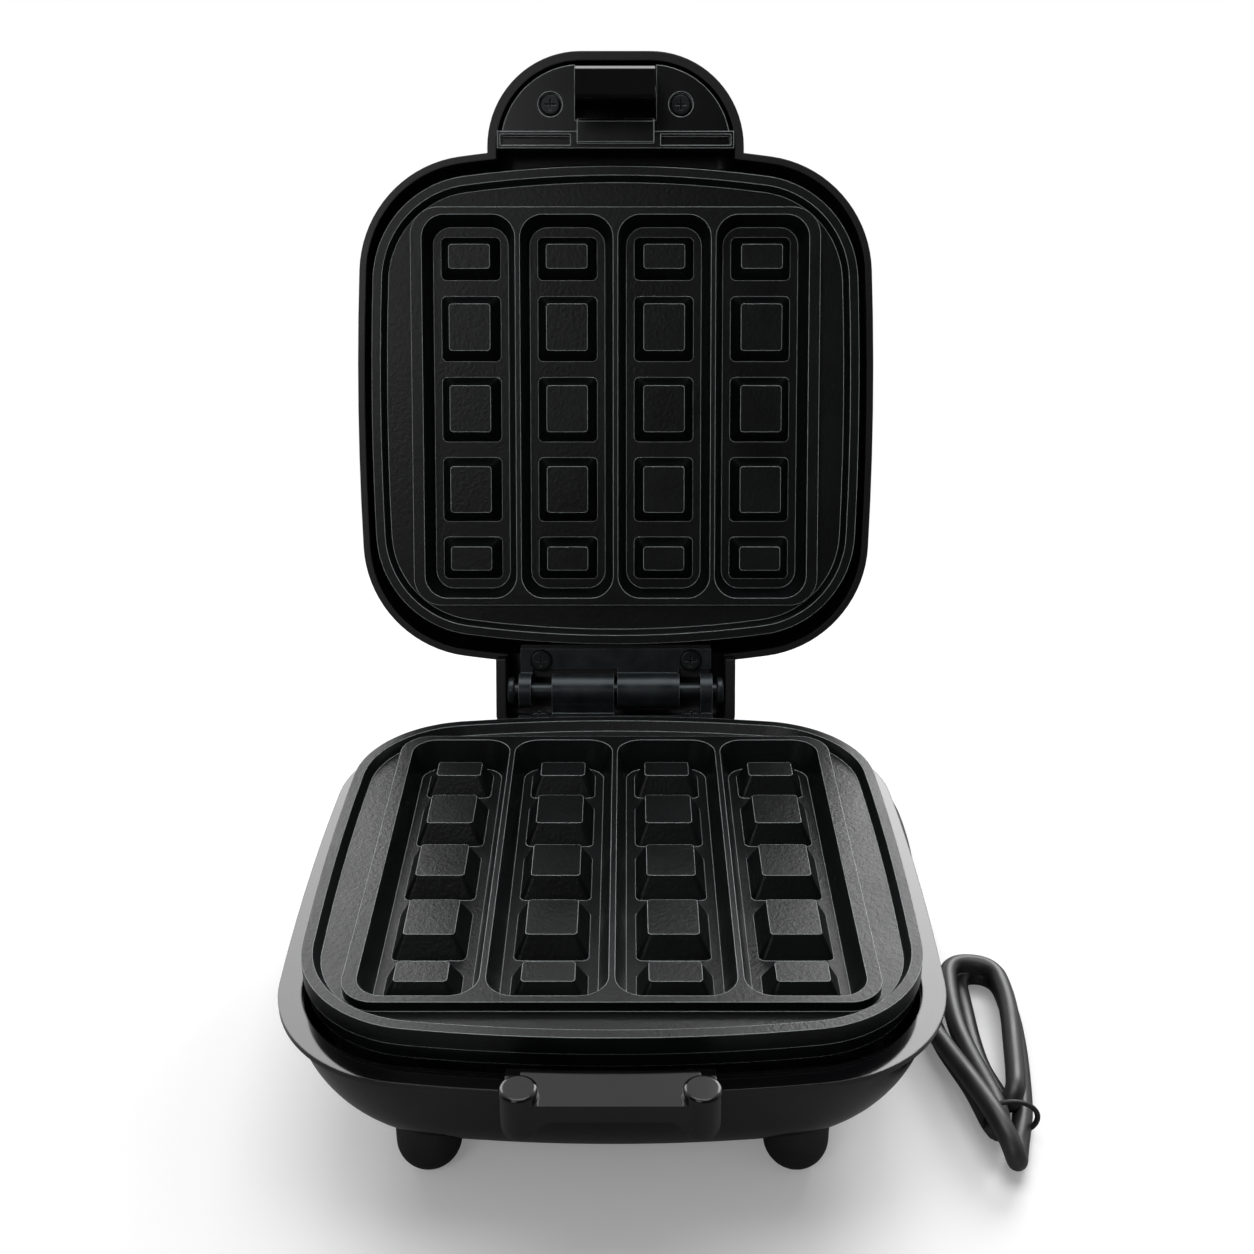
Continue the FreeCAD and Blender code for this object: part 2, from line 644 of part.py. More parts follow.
def pin_cap():
    """Push-on ring that keeps the hinge pin in."""
    x0, x1 = pin_head_start, pin_head_start + pin_head_length
    cap = rod(pin_head_r, V(x0, hinge_y, hinge_z), V(x1, hinge_y, hinge_z))
    cap = cap.makeFillet(0.6, [e for e in cap.Edges if e.Closed])
    return cap.cut(rod(hinge_pin_r + pin_clearance, V(x0 - 1, hinge_y, hinge_z), V(x1 + 1, hinge_y, hinge_z)))


def leaf_screws(leaf_z, up):
    head_z = leaf_z + leaf_thickness if up > 0 else leaf_z
    return Part.makeCompound([screw(V(s * leaf_screw_x, leaf_screw_y, head_z), V(0, 0, up), screw_head_r,
                                    screw_head_h, screw_r, leaf_thickness + 4.5) for s in (-1, 1)])


# ---- lid -----------------------------------------------------------------------------------------------
def lid_dome(wall):
    """Lid form, shrunk by wall: a short upright side, then a boxy shoulder that runs out to a flat top."""
    power = 2 / lid_boxiness
    rise = lid_height - lid_side - wall
    wires = []
    for angle in [math.radians(a) for a in (0, 10, 22, 34, 46, 58, 70, 80, 90)]:
        inset = lid_shoulder * (1 - math.cos(angle) ** power) + wall
        height = lid_side + rise * math.sin(angle) ** power
        corner = body_corner - wall - lid_corner_loss * (inset - wall)
        wires.append(bowed_outline(body_half_x - inset, body_half_y - inset, corner, lid_rim_z + height))
    side = slab(bowed_outline(body_half_x - wall, body_half_y - wall, body_corner - wall, lid_rim_z), lid_side)
    return side.fuse(Part.makeLoft(wires, True, False)).removeSplitter()


def handle_outline(inset, z, back):
    """D-shaped plan of the lid's grip, from its back edge out to the flat front."""
    hx = handle_half_x - inset
    r = handle_corner - inset
    front = -handle_front + inset
    flat = hx - r
    k = r * math.sqrt(0.5)
    yc = front + r
    pts = [V(-hx, back, z), V(-hx, yc, z), V(-flat - k, yc - k, z), V(-flat, front, z),
           V(flat, front, z), V(flat + k, yc - k, z), V(hx, yc, z), V(hx, back, z)]
    edges = [Part.makeLine(pts[0], pts[1]), Part.Arc(pts[1], pts[2], pts[3]).toShape(),
             Part.makeLine(pts[3], pts[4]), Part.Arc(pts[4], pts[5], pts[6]).toShape(),
             Part.makeLine(pts[6], pts[7]), Part.makeLine(pts[7], pts[0])]
    return Part.Wire(edges)


def handle_dome():
    body = slab(handle_outline(0, lid_rim_z, -50), handle_height)
    top = lid_rim_z + handle_height
    edges = [e for e in body.Edges if abs(e.BoundBox.ZMin - top) < 0.01 and abs(e.BoundBox.ZMax - top) < 0.01
             and e.BoundBox.YMin < -51]
    return body.makeFillet(handle_round, edges)


def handle_hollow():
    height = handle_height - handle_wall
    body = slab(handle_outline(handle_wall, lid_rim_z - 1, -58), height + 1)
    top = lid_rim_z + height
    edges = [e for e in body.Edges if abs(e.BoundBox.ZMin - top) < 0.01 and abs(e.BoundBox.ZMax - top) < 0.01
             and e.BoundBox.YMin < -59]
    return body.makeFillet(handle_round - handle_wall, edges)


def hood_box(wall_x, wall_back, wall_top, low):
    """Hood over the hinge, open at the bottom; the walls are taken off for its hollow."""
    back = hinge_y + hood_depth - wall_back
    half = hood_half_x - wall_x
    top = hinge_z + hood_rise - wall_top
    body = block(-half, half, 60, back, low, top)
    round_r = hood_round - wall_top * 0.8
    edges = [e for e in body.Edges if abs(e.CenterOfMass.y - back) < 0.01 and e.CenterOfMass.z > low + 1]
    edges += [e for e in body.Edges if abs(e.CenterOfMass.z - top) < 0.01 and abs(abs(e.CenterOfMass.x) - half) < 0.01]
    return body.makeFillet(round_r, edges)


def lid_shell():
    low = hinge_z - hood_drop
    inner = lid_dome(lid_wall)
    hood = hood_box(0, 0, 0, low).cut(block(-50, 50, 50, body_half_y - 3.0, 0, lid_rim_z))
    shell = lid_dome(0.0).fuse([handle_dome(), hood])
    hollow_hood = hood_box(hood_wall, hood_back_wall, hood_back_wall, low - 1)
    shell = shell.cut([inner, handle_hollow(), hollow_hood])
    below_rim = slab(bowed_outline(body_half_x, body_half_y, body_corner, low - 2, lid_wall),
                     lid_rim_z - low + 4)
    shell = shell.cut(below_rim)
    seat = [block(-knuckle_end, knuckle_end, leaf_front_y - 1, hinge_y - 3, upper_leaf_z + leaf_thickness,
                  upper_leaf_z + leaf_thickness + 5.0)]
    seat += [block(s * leaf_screw_x - 5, s * leaf_screw_x + 5, leaf_front_y - 1, hinge_y - 3,
                   upper_leaf_z + leaf_thickness, hinge_z + hood_rise - 1) for s in (-1, 1)]
    posts = [rod(plate_boss_r, V(x, y, upper_lip_z + tray_floor), V(x, y, lid_top_z - 1.0))
             for x, y in four(plate_boss_x, plate_boss_y)]
    posts += [rod(3.6, V(s * insert_screw_x, -insert_screw_y, insert_z + insert_thickness),
                  V(s * insert_screw_x, -insert_screw_y, lid_rim_z + handle_height - 1.0)) for s in (-1, 1)]
    shell = shell.fuse(seat + posts)
    drills = [rod(screw_r + screw_clearance, V(x, y, upper_lip_z + tray_floor - 1),
                  V(x, y, upper_lip_z + tray_floor + 7.0)) for x, y in four(plate_boss_x, plate_boss_y)]
    drills += [rod(screw_r + screw_clearance, V(s * insert_screw_x, -insert_screw_y, insert_z),
                   V(s * insert_screw_x, -insert_screw_y, insert_z + insert_thickness + 7.5)) for s in (-1, 1)]
    drills += [rod(screw_r + screw_clearance, V(s * leaf_screw_x, leaf_screw_y, upper_leaf_z),
                   V(s * leaf_screw_x, leaf_screw_y, upper_leaf_z + leaf_thickness + 5.5)) for s in (-1, 1)]
    drills.append(rod(indicator_r + 0.1, V(0, indicator_y, lid_top_z - 8), V(0, indicator_y, lid_top_z + 2)))
    return shell.cut(drills).removeSplitter()


def upper_studs():
    """Studs that join the upper plate's bosses, through the tray, to the lid's posts."""
    start = upper_lip_z + boss_end - 6.5
    end = upper_lip_z + tray_floor + 6.5
    return Part.makeCompound([rod(screw_r, V(x, y, start), V(x, y, end)) for x, y in four(plate_boss_x, plate_boss_y)])


def handle_insert():
    """Inner cover of the grip: two quarter-round panels, the ears for the latch pin, a block and a slotted rail."""
    z0, z1 = insert_z, insert_z + insert_thickness
    panel = slab(handle_outline(handle_wall + insert_gap, z0, -rail_back), insert_thickness)
    half = latch_half_x + latch_side_gap
    latch_slot = block(-half, half, -handle_front, -catch_bar_front + 0.1, z0 - 1, z1 + 1)
    panel = panel.cut(latch_slot)
    rail = block(-rail_half_x, rail_half_x, -rail_front, -rail_back, z0 - 1.2, z0 + 0.5)
    slots = [block(min(s * 13.0, s * (rail_half_x - rail_wall)), max(s * 13.0, s * (rail_half_x - rail_wall)),
                   -rail_front + rail_wall, -rail_back - rail_wall, z0 - 3, z0 + 1.4) for s in (-1, 1)]
    centre = block(-latch_half_x, latch_half_x, -catch_bar_front + 0.1, -rail_back - 1.4, z0 - 3.0, z0 + 1)
    centre = centre.makeChamfer(1.0, [e for e in centre.Edges if abs(e.CenterOfMass.y + catch_bar_front - 0.1) < 0.01
                                      and abs(e.CenterOfMass.z - z0 + 3.0) < 0.01])
    ears = [block(min(s * half, s * (half + 2.4)), max(s * half, s * (half + 2.4)), -latch_pivot_y - 3.2,
                  -latch_pivot_y + 3.2, z0 + 1, latch_pivot_z + 3.0) for s in (-1, 1)]
    body = fuse_all([panel, rail, centre] + ears).cut(slots)
    drills = [rod(latch_pin_r + pin_clearance, V(-20, -latch_pivot_y, latch_pivot_z),
                  V(20, -latch_pivot_y, latch_pivot_z))]
    for s in (-1, 1):
        x, y = s * insert_screw_x, -insert_screw_y
        drills.append(rod(screw_r + 0.3, V(x, y, z0 - 1), V(x, y, z1 + 1)))
        drills.append(rod(screw_head_r + 0.3, V(x, y, z0 - 1), V(x, y, z0 + 1.6)))
    return body.cut(drills)


def handle_screws():
    return Part.makeCompound([screw(V(s * insert_screw_x, -insert_screw_y, insert_z + 1.6), V(0, 0, -1), 2.9, 1.4,
                                    screw_r, insert_thickness + 4.5) for s in (-1, 1)])


def latch():
    """Hook that hangs in front of the catch bar and turns in under it. Drawn hooked, stored just clear."""
    inner = -catch_bar_front - latch_clearance - 0.3
    top = catch_bar_low - latch_clearance
    low = top - latch_foot
    tip = -catch_bar_front + latch_bite
    py, pz, r = -latch_pivot_y, latch_pivot_z, latch_boss_r
    outer_low = inner - latch_arm
    side = [(py - r, pz), (py - r, pz - 6.0), (outer_low - 1.6, low + 3.4), (outer_low + 0.4, low),
            (tip - 0.8, low), (tip, low + 0.9), (tip, top - 1.6), (tip - 1.2, top), (inner, top),
            (inner, catch_bar_top), (py + r + 0.6, pz - 6.0), (py + r, pz)]
    x = -latch_half_x
    arm = Part.Face(polygon([(x, y, z) for y, z in side])).extrude(V(2 * latch_half_x, 0, 0))
    boss = rod(r, V(-latch_half_x, py, pz), V(latch_half_x, py, pz))
    body = arm.fuse(boss).removeSplitter()
    body = body.cut(rod(latch_pin_r + pin_clearance, V(-20, py, pz), V(20, py, pz)))
    return body.rotate(V(0, py, pz), V(1, 0, 0), -latch_release)


def latch_pin():
    half = latch_half_x + latch_side_gap + 2.4
    return rod(latch_pin_r, V(-half, -latch_pivot_y, latch_pivot_z), V(half, -latch_pivot_y, latch_pivot_z))


def indicator_lens():
    top = lid_top_z + 0.6
    cap = rod(indicator_r, V(0, indicator_y, lid_top_z - 9), V(0, indicator_y, top))
    cap = cap.makeFillet(0.8, [e for e in cap.Edges if e.Closed and e.CenterOfMass.z > lid_top_z])
    return cap.cut(rod(indicator_r - 1.4, V(0, indicator_y, lid_top_z - 10), V(0, indicator_y, lid_top_z - 1)))


def indicator_lamp():
    low = lid_top_z - 11
    glass = rod(indicator_r - 1.6, V(0, indicator_y, low), V(0, indicator_y, lid_top_z - 4))
    tip = Part.makeSphere(indicator_r - 1.6, V(0, indicator_y, lid_top_z - 4))
    return glass.fuse(tip)


# ---- assembly --------------------------------------------------------------------------------------------
def base_nodes():
    bowl = bowl_solid(0.0)
    feet = {"foot_front_left": (-foot_front_x, -foot_front_y),
            "foot_front_right": (foot_front_x, -foot_front_y),
            "foot_rear_left": (-foot_back_x, foot_back_y),
            "foot_rear_right": (foot_back_x, foot_back_y)}
    nodes = {"base_shell": base_shell(),
             "lower_plate": to_lower(grid_plate()),
             "lower_heater": to_lower(heater()),
             "lower_reflector": to_lower(reflector_tray(True)),
             "base_screws": base_screws(),
             "thermostat": thermostat(),
             "thermal_fuse": thermal_fuse(),
             "terminal_block": terminal_block(),
             "internal_wires": internal_wires(),
             "strain_relief": strain_relief(),
             "lower_hinge_leaf": hinge_leaf(-1, lower_leaf_z, -1),
             "lower_hinge_screws": leaf_screws(lower_leaf_z, 1),
             "hinge_pin": hinge_pin(),
             "hinge_pin_cap": pin_cap(),
             "cord_lead": swept_tube(cord_r, lead_points),
             "cord_hank": cord_hank(),
             "cord_tie": cord_tie(),
             "cord_tail": swept_tube(cord_r, tail_points),
             "plug_body": plug_body(),
             "plug_blades": plug_blades()}
    for name, (x, y) in feet.items():
        nodes[name] = foot(x, y, bowl)
    return nodes


def lid_nodes():
    return {"lid_shell": lid_shell(),
            "upper_plate": to_upper(grid_plate()),
            "upper_heater": to_upper(heater()),
            "upper_reflector": to_upper(reflector_tray(False)),
            "upper_plate_studs": upper_studs(),
            "upper_hinge_leaf": hinge_leaf(1, upper_leaf_z, 1),
            "upper_hinge_screws": leaf_screws(upper_leaf_z, -1),
            "handle_insert": handle_insert(),
            "handle_screws": handle_screws(),
            "latch": latch(),
            "latch_pin": latch_pin(),
            "indicator_lens": indicator_lens(),
            "indicator_lamp": indicator_lamp()}


def main():
    nodes = base_nodes()
    for name, shape in lid_nodes().items():
        nodes[name] = shape.rotate(hinge_point, V(1, 0, 0), -open_angle)
    cord_nodes = ("cord_lead", "cord_hank", "cord_tie", "cord_tail", "plug_body", "plug_blades")
    whole = FreeCAD.BoundBox()
    for name, shape in nodes.items():
        if name not in cord_nodes:
            whole.add(shape.optimalBoundingBox(False, False))
    shift = V(-(whole.XMin + whole.XMax) / 2, -(whole.YMin + whole.YMax) / 2, -whole.ZMin)
    print("shift to the origin", shift)
    print("hinge point", hinge_point + shift)
    pivot = V(0, -latch_pivot_y, latch_pivot_z) - hinge_point
    pivot = FreeCAD.Rotation(V(1, 0, 0), -open_angle).multVec(pivot) + hinge_point
    print("latch pivot", pivot + shift)
    for label, points in (("lead", lead_points), ("tail", tail_points)):
        radii = [bend_radius(*three) for three in zip(points, points[1:], points[2:])]
        length = run_and_arc_path(points).Length
        print(label, "length %.1f" % length, "radii", [round(r, 1) for r in radii])
        tube = nodes["cord_" + label]
        print(label, "volume over section x length %.4f" % (tube.Volume / (math.pi * cord_r ** 2 * length)))
    os.makedirs("parts", exist_ok=True)
    for name, shape in nodes.items():
        shape.translated(shift).exportStep("parts/%s.step" % name)
        print(name, "solids", len(shape.Solids), "valid", shape.isValid(), "volume %.0f" % shape.Volume)


main()
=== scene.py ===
import json
import math
import bpy
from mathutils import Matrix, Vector


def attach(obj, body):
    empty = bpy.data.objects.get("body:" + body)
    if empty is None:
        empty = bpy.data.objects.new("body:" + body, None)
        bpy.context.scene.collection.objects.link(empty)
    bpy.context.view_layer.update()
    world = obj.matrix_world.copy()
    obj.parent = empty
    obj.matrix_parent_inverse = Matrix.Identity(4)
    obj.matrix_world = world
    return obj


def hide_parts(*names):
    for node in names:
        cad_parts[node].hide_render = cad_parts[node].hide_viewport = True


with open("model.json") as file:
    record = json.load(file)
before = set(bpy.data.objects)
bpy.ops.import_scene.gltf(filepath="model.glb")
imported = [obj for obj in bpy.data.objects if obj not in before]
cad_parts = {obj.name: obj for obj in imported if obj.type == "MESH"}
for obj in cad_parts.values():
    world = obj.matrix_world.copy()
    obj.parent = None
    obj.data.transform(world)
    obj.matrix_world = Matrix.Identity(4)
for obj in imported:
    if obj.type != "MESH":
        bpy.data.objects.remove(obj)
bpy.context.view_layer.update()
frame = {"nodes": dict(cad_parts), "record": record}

nodes = frame["nodes"]


cameraSettings = {
    "place": (0.0033, -0.3578, 0.2653),
    "downDegrees": 25.6,
    "lens": 44.3,  # mm on a 36 mm square sensor
    "sensor": 36.0,
}


def addCamera(settings):
    cameraData = bpy.data.cameras.new("camera")
    cameraData.lens = settings["lens"]
    cameraData.sensor_width = settings["sensor"]
    camera = bpy.data.objects.new("camera", cameraData)
    camera.location = settings["place"]
    camera.rotation_euler = (math.radians(90 - settings["downDegrees"]), 0, 0)
    bpy.context.scene.collection.objects.link(camera)
    bpy.context.scene.camera = camera


addCamera(cameraSettings)
print("camera placed")

flexCord = {
    "diameter": 0.0048,
    "sectionSteps": 6,
    "lengthSteps": 10,
    "length": 0.7355,
    "exit": (0.0220, 0.0493, 0.0160),
    # out of the strain relief, round the back corner and along the right side of the base
    "lead": [
        (0.0220, 0.0493, 0.0160),
        (0.0220, 0.0633, 0.0130),
        (0.0270, 0.0783, 0.0065),
        (0.0420, 0.0903, 0.0026),
        (0.0620, 0.0923, 0.0026),
        (0.0790, 0.0813, 0.0026),
        (0.0860, 0.0623, 0.0026),
        (0.0870, 0.0413, 0.0026),
        (0.0860, 0.0213, 0.0028),
        (0.0825, 0.0033, 0.0048),
        (0.0785, -0.0137, 0.0076),
        (0.0760, -0.0347, 0.0078),
        (0.0796, -0.0527, 0.0078),
    ],
    # over the bundle, folded under at the front, then round two loops that lie one on the other
    "hank": [
        (0.0822, -0.0637, 0.0092),
        (0.0848, -0.0747, 0.0109),
        (0.0880, -0.0862, 0.0113),
        (0.0900, -0.0929, 0.0096),
        (0.0914, -0.0959, 0.0062),
        (0.0926, -0.0921, 0.0029),
        (0.0946, -0.0855, 0.0025),
        (0.0973, -0.0777, 0.0025),
        (0.0994, -0.0667, 0.0025),
        (0.1014, -0.0537, 0.0025),
        (0.1026, -0.0407, 0.0025),
        (0.1020, -0.0261, 0.0025),
        (0.0914, -0.0247, 0.0025),
        (0.0908, -0.0392, 0.0025),
        (0.0902, -0.0517, 0.0025),
        (0.0906, -0.0617, 0.0025),
        (0.0922, -0.0687, 0.0025),
        (0.0931, -0.0727, 0.0027),
        (0.0937, -0.0771, 0.0054),
        (0.0957, -0.0747, 0.0078),
        (0.0970, -0.0687, 0.0076),
        (0.0986, -0.0587, 0.0075),
        (0.1002, -0.0487, 0.0075),
        (0.1010, -0.0397, 0.0076),
        (0.1002, -0.0275, 0.0078),
        (0.0882, -0.0265, 0.0078),
        (0.0864, -0.0397, 0.0077),
        (0.0860, -0.0525, 0.0076),
        (0.0872, -0.0617, 0.0074),
        (0.0889, -0.0707, 0.0073),
        (0.0902, -0.0777, 0.0072),
        (0.0903, -0.0829, 0.0068),
        (0.0899, -0.0855, 0.0045),
        (0.0892, -0.0809, 0.0024),
        (0.0883, -0.0752, 0.0025),
        (0.0872, -0.0687, 0.0025),
        (0.0850, -0.0612, 0.0025),
    ],
    # back underneath and along the floor to the plug
    "tail": [
        (0.0826, -0.0527, 0.0025),
        (0.0810, -0.0387, 0.0025),
        (0.0785, -0.0217, 0.0025),
        (0.0750, -0.0037, 0.0025),
        (0.0700, 0.0153, 0.0025),
        (0.0625, 0.0343, 0.0025),
        (0.0490, 0.0498, 0.0025),
        (0.0310, 0.0588, 0.0025),
        (0.0120, 0.0633, 0.0027),
        (-0.0060, 0.0653, 0.0050),
        (-0.0200, 0.0658, 0.0080),
    ],
}


def linearColour(hexCode):
    shares = [int(hexCode[i:i + 2], 16) / 255 for i in (1, 3, 5)]
    return tuple(s / 12.92 if s <= 0.04045 else ((s + 0.055) / 1.055) ** 2.4 for s in shares) + (1.0,)


def addNode(tree, kind, inputs=None, **settings):
    node = tree.nodes.new(kind)
    for name, value in settings.items():
        setattr(node, name, value)
    for name, value in (inputs or {}).items():
        if isinstance(value, bpy.types.NodeSocket):
            tree.links.new(value, node.inputs[name])
        else:
            node.inputs[name].default_value = value
    return node


def addFinish(look):
    material = bpy.data.materials.new(look["name"])
    material.use_nodes = True
    tree = material.node_tree
    shader = tree.nodes["Principled BSDF"]
    shader.inputs["Metallic"].default_value = look.get("metallic", 0.0)
    shader.inputs["IOR"].default_value = look.get("ior", 1.5)
    shader.inputs["Coat Weight"].default_value = look.get("coat", 0.0)
    shader.inputs["Coat Roughness"].default_value = look.get("coatRoughness", 0.1)
    place = addNode(tree, "ShaderNodeTexCoord").outputs["Object"]
    # one soft noise drives both the change of colour and the change of roughness
    mottle = addNode(tree, "ShaderNodeTexNoise", {"Vector": place, "Scale": 1000 / look["mottleMm"],
                                                  "Detail": 4.0, "Roughness": 0.62}).outputs["Fac"]
    spread = addNode(tree, "ShaderNodeMapRange", {"Value": mottle, "From Min": 0.3, "From Max": 0.7})
    mix = addNode(tree, "ShaderNodeMix", {"Factor": spread.outputs["Result"]}, data_type="RGBA")
    mix.inputs[6].default_value = linearColour(look["dark"])
    mix.inputs[7].default_value = linearColour(look["light"])
    tree.links.new(mix.outputs[2], shader.inputs["Base Color"])
    low, high = look["roughness"]
    worn = addNode(tree, "ShaderNodeMapRange", {"Value": mottle, "From Min": 0.3, "From Max": 0.7,
                                                "To Min": low, "To Max": high})
    tree.links.new(worn.outputs["Result"], shader.inputs["Roughness"])
    normal = None
    if look.get("edgeMm"):
        normal = addNode(tree, "ShaderNodeBevel", {"Radius": look["edgeMm"] / 1000}, samples=4).outputs["Normal"]
    # where the rounded normal leaves the flat one, an edge is near, and a painted highlight lightens the colour
    # there, on hollow edges as well as on outer ones
    if look.get("paintedEdgeHighlight"):
        flat = addNode(tree, "ShaderNodeNewGeometry").outputs["Normal"]
        turned = addNode(tree, "ShaderNodeVectorMath", {0: normal, 1: flat}, operation="DOT_PRODUCT")
        edge = addNode(tree, "ShaderNodeMapRange", {"Value": turned.outputs["Value"], "From Min": 0.992,
                                                    "From Max": 0.92, "To Max": 1.0})
        edgeHighlightMix = addNode(tree, "ShaderNodeMix", {"Factor": edge.outputs["Result"]}, data_type="RGBA")
        tree.links.new(mix.outputs[2], edgeHighlightMix.inputs[6])
        edgeHighlightMix.inputs[7].default_value = linearColour(look["paintedEdgeHighlight"])
        tree.links.new(edgeHighlightMix.outputs[2], shader.inputs["Base Color"])
    for sizeMm, heightMm in look.get("relief", []):
        grain = addNode(tree, "ShaderNodeTexNoise", {"Vector": place, "Scale": 1000 / sizeMm,
                                                     "Detail": 3.0, "Roughness": 0.55})
        bump = addNode(tree, "ShaderNodeBump", {"Height": grain.outputs["Fac"], "Distance": heightMm / 1000,
                                                "Strength": 1.0})
        if normal is not None:
            tree.links.new(normal, bump.inputs["Normal"])
        normal = bump.outputs["Normal"]
    if normal is not None:
        tree.links.new(normal, shader.inputs["Normal"])
    return material


finishes = {
    # ABS, injection moulded and polished: deep black with mirror-like, very slightly wavy reflections
    "gloss_black_abs": {"name": "polishedBlackAbs", "dark": "#080809", "light": "#0c0c0e", "mottleMm": 60,
                        "roughness": (0.06, 0.10), "ior": 1.5,
                        "edgeMm": 0.4, "relief": [(14.0, 0.010), (0.9, 0.0006)]},
    # ABS, moulded against a spark-eroded tool: soft black with a fine even grain, drawn coarser than
    # its real 0.1 mm so that it shows
    "matte_black_lid": {"name": "texturedBlackAbs", "dark": "#0c0c0d", "light": "#121213", "mottleMm": 45,
                        "roughness": (0.38, 0.48), "ior": 1.48, "edgeMm": 0.5, "relief": [(0.5, 0.010)]},
    # ABS, moulded with a satin tool: sharper highlights along its edges than the shell, and a pale painted
    # highlight on those edges
    "satin_black_insert": {"name": "satinBlackAbs", "dark": "#08090a", "light": "#0d0e0f", "mottleMm": 30,
                           "roughness": (0.20, 0.28), "ior": 1.42, "edgeMm": 0.35, "paintedEdgeHighlight": "#c9cfd1",
                           "relief": [(0.45, 0.004), (9.0, 0.006)]},
    # PTFE based non-stick coating sprayed on die-cast aluminium: near black with an orange-peel skin,
    # whose ripples are about a millimetre apart
    # a pale painted highlight is laid along its edges
    "nonstick_casting": {"name": "nonStickCoatedCasting", "dark": "#070808", "light": "#0e1011", "mottleMm": 22,
                         "roughness": (0.30, 0.37), "ior": 1.36, "paintedEdgeHighlight": "#cdd4d6",
                         "edgeMm": 0.24, "relief": [(1.1, 0.085), (0.5, 0.03)]},
    # steel with a baked black finish over a cast surface: dark grey-green with a hard sheen, and a pale painted
    # highlight along its edges
    "black_hinge_metal": {"name": "blackBakedSteel", "dark": "#22272a", "light": "#343a3c", "mottleMm": 6,
                          "roughness": (0.28, 0.40), "metallic": 0.6, "edgeMm": 0.3, "paintedEdgeHighlight": "#9aa1a3",
                          "relief": [(0.8, 0.020), (3.0, 0.03)]},
    # blackened screw steel: dark oxide with a light oily sheen, and a grey painted highlight along its edges
    "black_screw": {"name": "blackOxideSteel", "dark": "#1c1f20", "light": "#2c3031", "mottleMm": 3,
                    "roughness": (0.26, 0.38), "metallic": 0.7, "edgeMm": 0.15, "paintedEdgeHighlight": "#8d9496",
                    "relief": [(0.4, 0.003)]},
    # zinc-plated screw steel: pale bluish grey, lightly brushed by the driver
    "zinc_screw": {"name": "zincPlatedSteel", "dark": "#8e9294", "light": "#b4b8b9", "mottleMm": 4,
                   "roughness": (0.26, 0.38), "metallic": 1.0, "edgeMm": 0.2, "relief": [(0.5, 0.003)]},
    # stainless heater tube, heat-tinted: warm dull grey
    "heater_steel": {"name": "annealedStainlessTube", "dark": "#5d5a54", "light": "#7b776f", "mottleMm": 9,
                     "roughness": (0.30, 0.45), "metallic": 1.0, "relief": [(0.7, 0.004)]},
    # aluminised sheet steel, pressed: bright soft spangle
    "bright_tray": {"name": "aluminisedSheetSteel", "dark": "#a7aaab", "light": "#c9cccd", "mottleMm": 8,
                    "roughness": (0.22, 0.36), "metallic": 1.0, "edgeMm": 0.3, "relief": [(5.0, 0.01)]},
    # phenolic moulding compound: dark brown with pale filler flecks
    "brown_phenolic": {"name": "brownPhenolic", "dark": "#2b1a12", "light": "#3d271c", "mottleMm": 2.5,
                       "roughness": (0.35, 0.5), "edgeMm": 0.25, "relief": [(0.6, 0.006)]},
    # steatite ceramic, fired unglazed: chalky white
    "white_ceramic": {"name": "steatiteCeramic", "dark": "#d8d4c9", "light": "#e9e6dd", "mottleMm": 6,
                      "roughness": (0.55, 0.7), "edgeMm": 0.25, "relief": [(0.4, 0.006)]},
    # glass-fibre sleeving over copper: white weave, slightly greyed
    "wire_insulation": {"name": "glassFibreSleeving", "dark": "#b9b6ac", "light": "#dcd9cf", "mottleMm": 1.6,
                        "roughness": (0.6, 0.8), "relief": [(0.5, 0.03)]},
    # flexible PVC sheath, extruded: charcoal with a soft satin sheen
    "cord_pvc": {"name": "flexiblePvc", "dark": "#1d1d1e", "light": "#2a2a2b", "mottleMm": 12,
                 "roughness": (0.36, 0.46), "ior": 1.53, "relief": [(1.2, 0.008), (0.35, 0.003)]},
    # EPDM rubber ring: dull black
    "tie_rubber": {"name": "epdmRubber", "dark": "#0c0c0c", "light": "#141414", "mottleMm": 3,
                   "roughness": (0.5, 0.65), "relief": [(0.6, 0.006)]},
    # natural rubber feet, compression moulded: matt black with a grey bloom
    "foot_rubber": {"name": "mouldedRubber", "dark": "#101010", "light": "#1b1b1b", "mottleMm": 5,
                    "roughness": (0.45, 0.62), "edgeMm": 0.4, "relief": [(0.5, 0.012)]},
    # nickel-plated brass blades: warm silver
    "plug_metal": {"name": "nickelPlatedBrass", "dark": "#a5a19a", "light": "#c4c0b8", "mottleMm": 6,
                   "roughness": (0.2, 0.3), "metallic": 1.0, "edgeMm": 0.25, "relief": [(0.8, 0.002)]},
    # polycarbonate lens, tinted amber: clear with soft inner light
    "clear_lens": {"name": "amberPolycarbonate", "dark": "#7a2a12", "light": "#a33a18", "mottleMm": 5,
                   "roughness": (0.08, 0.14), "ior": 1.58, "edgeMm": 0.3, "relief": [(4.0, 0.004)]},
    # neon lamp glass: pale warm glass
    "lamp_glass": {"name": "neonLampGlass", "dark": "#c99a72", "light": "#e0b48a", "mottleMm": 2,
                   "roughness": (0.08, 0.15), "ior": 1.5, "relief": [(1.0, 0.002)]},
}

slotMaterials = {slot: addFinish(look) for slot, look in finishes.items()}
slotOf = {s["node"]: s["material_slot"] for s in frame["record"]["subparts"]}
for nodeName, node in nodes.items():
    for place in node.material_slots:
        place.material = slotMaterials[slotOf[nodeName]]
print("finishes assigned to", len(nodes), "nodes")


def deselectAll():
    if bpy.context.mode != "OBJECT":
        bpy.ops.object.mode_set(mode="OBJECT")
    bpy.ops.object.select_all(action="DESELECT")


def finishPiece(piece, slot, body, replacedNodes):
    piece.data.materials.clear()
    piece.data.materials.append(slotMaterials[slot])
    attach(piece, body)
    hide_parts(*replacedNodes)


